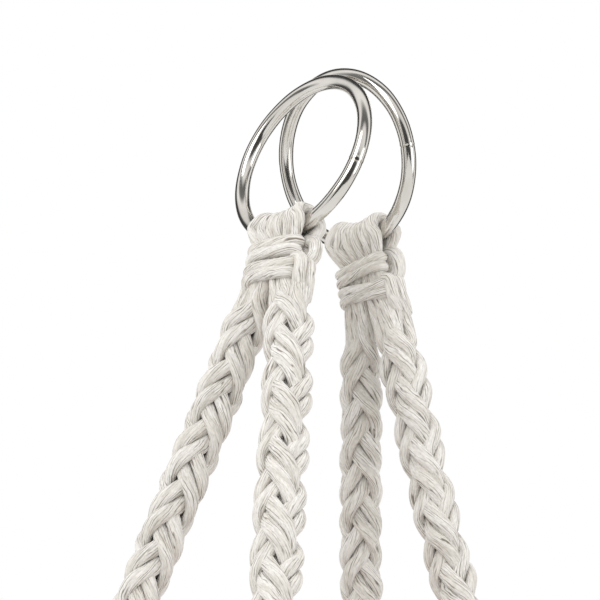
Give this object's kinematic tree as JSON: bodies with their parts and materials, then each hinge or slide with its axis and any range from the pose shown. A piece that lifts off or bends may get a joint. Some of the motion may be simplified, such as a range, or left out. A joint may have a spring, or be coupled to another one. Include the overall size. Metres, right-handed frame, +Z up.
{
  "type": "hanging macrame planter",
  "caption": "Hanging planter: welded rings, square knots and plaited cotton arms carry a knotted cord cradle with a tassel and a tapered pot.",
  "frame": {"origin": "the seat of the hook that both rings hang from, between the inner sides of their tops", "axes": "+Z up; X across the two rings, with the front ring, its knot and its two arms towards -X; Y along the foot of each ring"},
  "size_m": [0.2185, 0.2164, 0.7499],
  "materials": {
    "cotton_cord": "matt undyed twisted cotton cord",
    "ring_nickel": "polished nickel on welded steel wire",
    "pot_terracotta": null
  },
  "bodies": {
    "macrame": {"front_knot_core": "cotton_cord", "front_upper_wrap": "cotton_cord", "front_lower_wrap": "cotton_cord", "front_side_turn": "cotton_cord", "back_knot_core": "cotton_cord", "back_upper_wrap": "cotton_cord", "back_lower_wrap": "cotton_cord", "back_side_turn": "cotton_cord", "front_left_arm": "cotton_cord", "front_left_rim_knot": "cotton_cord", "front_left_net_to_front": "cotton_cord", "front_left_net_to_left": "cotton_cord", "front_right_arm": "cotton_cord", "front_right_rim_knot": "cotton_cord", "front_right_net_to_front": "cotton_cord", "front_right_net_to_right": "cotton_cord", "back_left_arm": "cotton_cord", "back_left_rim_knot": "cotton_cord", "back_left_net_to_back": "cotton_cord", "back_left_net_to_left": "cotton_cord", "back_right_arm": "cotton_cord", "back_right_rim_knot": "cotton_cord", "back_right_net_to_back": "cotton_cord", "back_right_net_to_right": "cotton_cord", "front_mid_knot": "cotton_cord", "front_under_leg": "cotton_cord", "left_mid_knot": "cotton_cord", "left_under_leg": "cotton_cord", "back_mid_knot": "cotton_cord", "back_under_leg": "cotton_cord", "right_mid_knot": "cotton_cord", "right_under_leg": "cotton_cord", "gathered_cords": "cotton_cord", "gathering_wrap": "cotton_cord", "tassel": "cotton_cord"},
    "front_loops": {"front_loops": "cotton_cord"},
    "front_ring": {"front_ring": "ring_nickel"},
    "back_loops": {"back_loops": "cotton_cord"},
    "back_ring": {"back_ring": "ring_nickel"},
    "pot": {"pot": "pot_terracotta"}
  },
  "joints": [
    {"name": "front_loops_tilt", "type": "hinge", "parent": "macrame", "child": "front_loops", "pos_m": [-0.01615, 0, -0.0619], "axis": [0, -1, 0], "range_deg": [0, 80]},
    {"name": "front_ring_spin", "type": "hinge", "parent": "front_loops", "child": "front_ring", "pos_m": [-0.0095, 0, -0.0306], "axis": [-0.9781, 0, 0.2079], "continuous": true},
    {"name": "back_loops_tilt", "type": "hinge", "parent": "macrame", "child": "back_loops", "pos_m": [0.02362, 0, -0.05536], "axis": [0, 1, 0], "range_deg": [0, 80]},
    {"name": "back_ring_spin", "type": "hinge", "parent": "back_loops", "child": "back_ring", "pos_m": [0.0132, 0, -0.0251], "axis": [0.9455, 0, 0.3256], "continuous": true},
    {"name": "pot_turn", "type": "hinge", "parent": "macrame", "child": "pot", "pos_m": [0, 0, -0.46], "axis": [0, 0, 1], "continuous": true}
  ]
}
